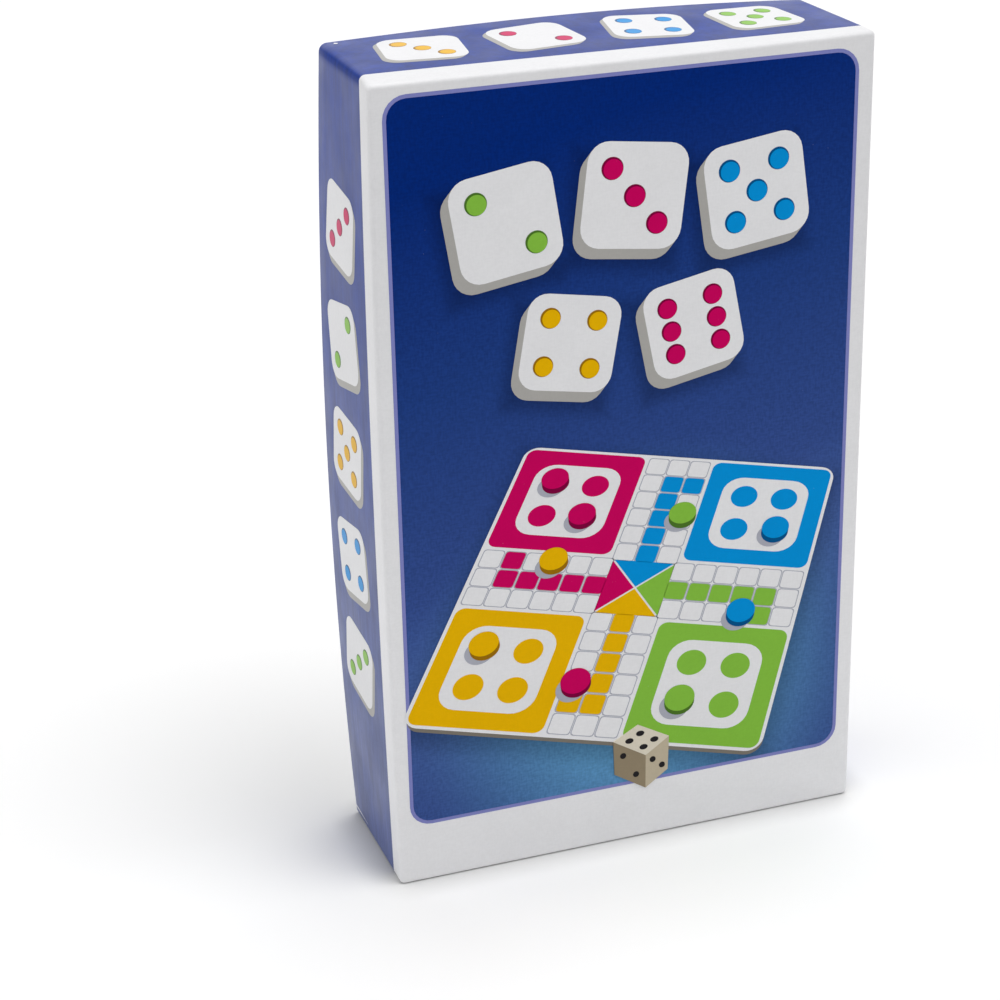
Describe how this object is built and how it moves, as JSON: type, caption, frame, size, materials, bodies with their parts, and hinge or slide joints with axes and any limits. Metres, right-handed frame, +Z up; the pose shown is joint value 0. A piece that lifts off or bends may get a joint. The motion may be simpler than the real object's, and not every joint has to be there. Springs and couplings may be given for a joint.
{
  "type": "travel ludo game",
  "caption": "Flat upright lift-off lid game case of paper-wrapped board, holding a four-arm interlocking ludo board, counters, a wooden die, a folded card insert and rules.",
  "frame": {"origin": "under the middle of the closed case, on the surface its short side stands on", "axes": "+Z up along the case's long side, -Y out of the lid's printed face, X across the face"},
  "size_m": [0.1146, 0.035, 0.1822],
  "materials": {
    "greyboard": "matte",
    "printed_wrap": "satin",
    "plain_wrap": "satin",
    "white_card": "matte",
    "pale_wood": "satin",
    "leaflet_paper": "matte",
    "pink_board": "satin",
    "blue_board": "satin",
    "green_board": "satin",
    "yellow_board": "satin"
  },
  "bodies": {
    "tray": {"tray_board": "greyboard", "tray_wrap": "plain_wrap"},
    "lid": {"lid_board": "greyboard", "lid_wrap": "printed_wrap"},
    "rules_leaflet": {"rules_leaflet": "leaflet_paper"},
    "board_arm_pink": {"board_arm_pink": "pink_board"},
    "board_arm_blue": {"board_arm_blue": "blue_board"},
    "board_arm_green": {"board_arm_green": "green_board"},
    "board_arm_yellow": {"board_arm_yellow": "yellow_board"},
    "counter_pink_1": {"counter_pink_1": "pink_board"},
    "counter_pink_2": {"counter_pink_2": "pink_board"},
    "counter_pink_3": {"counter_pink_3": "pink_board"},
    "counter_pink_4": {"counter_pink_4": "pink_board"},
    "counter_blue_1": {"counter_blue_1": "blue_board"},
    "counter_blue_2": {"counter_blue_2": "blue_board"},
    "counter_blue_3": {"counter_blue_3": "blue_board"},
    "counter_blue_4": {"counter_blue_4": "blue_board"},
    "counter_green_1": {"counter_green_1": "green_board"},
    "counter_green_2": {"counter_green_2": "green_board"},
    "counter_green_3": {"counter_green_3": "green_board"},
    "counter_green_4": {"counter_green_4": "green_board"},
    "counter_yellow_1": {"counter_yellow_1": "yellow_board"},
    "counter_yellow_2": {"counter_yellow_2": "yellow_board"},
    "counter_yellow_3": {"counter_yellow_3": "yellow_board"},
    "counter_yellow_4": {"counter_yellow_4": "yellow_board"},
    "wooden_die": {"wooden_die": "pale_wood"},
    "card_insert": {"card_insert": "white_card"}
  },
  "joints": [
    {"name": "lid_slide", "type": "slide", "parent": "tray", "child": "lid", "axis": [0, -1, 0], "range_m": [0, 0.26]},
    {"name": "rules_leaflet_slide", "type": "slide", "parent": "tray", "child": "rules_leaflet", "axis": [0, -1, 0], "range_m": [0, 0.2189]},
    {"name": "board_arm_pink_slide", "type": "slide", "parent": "tray", "child": "board_arm_pink", "axis": [0, -1, 0], "range_m": [0, 0.1409]},
    {"name": "board_arm_blue_slide", "type": "slide", "parent": "tray", "child": "board_arm_blue", "axis": [0, -1, 0], "range_m": [0, 0.1591]},
    {"name": "board_arm_green_slide", "type": "slide", "parent": "tray", "child": "board_arm_green", "axis": [0, -1, 0], "range_m": [0, 0.1773]},
    {"name": "board_arm_yellow_slide", "type": "slide", "parent": "tray", "child": "board_arm_yellow", "axis": [0, -1, 0], "range_m": [0, 0.1955]},
    {"name": "counter_pink_1_slide", "type": "slide", "parent": "tray", "child": "counter_pink_1", "axis": [0, -1, 0], "range_m": [0, 0.0629]},
    {"name": "counter_pink_2_slide", "type": "slide", "parent": "tray", "child": "counter_pink_2", "axis": [0, -1, 0], "range_m": [0, 0.0785]},
    {"name": "counter_pink_3_slide", "type": "slide", "parent": "tray", "child": "counter_pink_3", "axis": [0, -1, 0], "range_m": [0, 0.0941]},
    {"name": "counter_pink_4_slide", "type": "slide", "parent": "tray", "child": "counter_pink_4", "axis": [0, -1, 0], "range_m": [0, 0.1097]},
    {"name": "counter_blue_1_slide", "type": "slide", "parent": "tray", "child": "counter_blue_1", "axis": [0, -1, 0], "range_m": [0, 0.0629]},
    {"name": "counter_blue_2_slide", "type": "slide", "parent": "tray", "child": "counter_blue_2", "axis": [0, -1, 0], "range_m": [0, 0.0785]},
    {"name": "counter_blue_3_slide", "type": "slide", "parent": "tray", "child": "counter_blue_3", "axis": [0, -1, 0], "range_m": [0, 0.0941]},
    {"name": "counter_blue_4_slide", "type": "slide", "parent": "tray", "child": "counter_blue_4", "axis": [0, -1, 0], "range_m": [0, 0.1097]},
    {"name": "counter_green_1_slide", "type": "slide", "parent": "tray", "child": "counter_green_1", "axis": [0, -1, 0], "range_m": [0, 0.0629]},
    {"name": "counter_green_2_slide", "type": "slide", "parent": "tray", "child": "counter_green_2", "axis": [0, -1, 0], "range_m": [0, 0.0785]},
    {"name": "counter_green_3_slide", "type": "slide", "parent": "tray", "child": "counter_green_3", "axis": [0, -1, 0], "range_m": [0, 0.0941]},
    {"name": "counter_green_4_slide", "type": "slide", "parent": "tray", "child": "counter_green_4", "axis": [0, -1, 0], "range_m": [0, 0.1097]},
    {"name": "counter_yellow_1_slide", "type": "slide", "parent": "tray", "child": "counter_yellow_1", "axis": [0, -1, 0], "range_m": [0, 0.0629]},
    {"name": "counter_yellow_2_slide", "type": "slide", "parent": "tray", "child": "counter_yellow_2", "axis": [0, -1, 0], "range_m": [0, 0.0785]},
    {"name": "counter_yellow_3_slide", "type": "slide", "parent": "tray", "child": "counter_yellow_3", "axis": [0, -1, 0], "range_m": [0, 0.0941]},
    {"name": "counter_yellow_4_slide", "type": "slide", "parent": "tray", "child": "counter_yellow_4", "axis": [0, -1, 0], "range_m": [0, 0.1097]},
    {"name": "wooden_die_slide", "type": "slide", "parent": "tray", "child": "wooden_die", "axis": [0, -1, 0], "range_m": [0, 0.0941]},
    {"name": "card_insert_slide", "type": "slide", "parent": "tray", "child": "card_insert", "axis": [0, -1, 0], "range_m": [0, 0.0317]}
  ],
  "couplings": [
    {"joint": "rules_leaflet_slide", "follows": "lid_slide", "ratio": 0.84},
    {"joint": "board_arm_pink_slide", "follows": "lid_slide", "ratio": 0.54},
    {"joint": "board_arm_blue_slide", "follows": "lid_slide", "ratio": 0.61},
    {"joint": "board_arm_green_slide", "follows": "lid_slide", "ratio": 0.68},
    {"joint": "board_arm_yellow_slide", "follows": "lid_slide", "ratio": 0.75},
    {"joint": "counter_pink_1_slide", "follows": "lid_slide", "ratio": 0.24},
    {"joint": "counter_pink_2_slide", "follows": "lid_slide", "ratio": 0.3},
    {"joint": "counter_pink_3_slide", "follows": "lid_slide", "ratio": 0.36},
    {"joint": "counter_pink_4_slide", "follows": "lid_slide", "ratio": 0.42},
    {"joint": "counter_blue_1_slide", "follows": "lid_slide", "ratio": 0.24},
    {"joint": "counter_blue_2_slide", "follows": "lid_slide", "ratio": 0.3},
    {"joint": "counter_blue_3_slide", "follows": "lid_slide", "ratio": 0.36},
    {"joint": "counter_blue_4_slide", "follows": "lid_slide", "ratio": 0.42},
    {"joint": "counter_green_1_slide", "follows": "lid_slide", "ratio": 0.24},
    {"joint": "counter_green_2_slide", "follows": "lid_slide", "ratio": 0.3},
    {"joint": "counter_green_3_slide", "follows": "lid_slide", "ratio": 0.36},
    {"joint": "counter_green_4_slide", "follows": "lid_slide", "ratio": 0.42},
    {"joint": "counter_yellow_1_slide", "follows": "lid_slide", "ratio": 0.24},
    {"joint": "counter_yellow_2_slide", "follows": "lid_slide", "ratio": 0.3},
    {"joint": "counter_yellow_3_slide", "follows": "lid_slide", "ratio": 0.36},
    {"joint": "counter_yellow_4_slide", "follows": "lid_slide", "ratio": 0.42},
    {"joint": "wooden_die_slide", "follows": "lid_slide", "ratio": 0.36},
    {"joint": "card_insert_slide", "follows": "lid_slide", "ratio": 0.12}
  ]
}
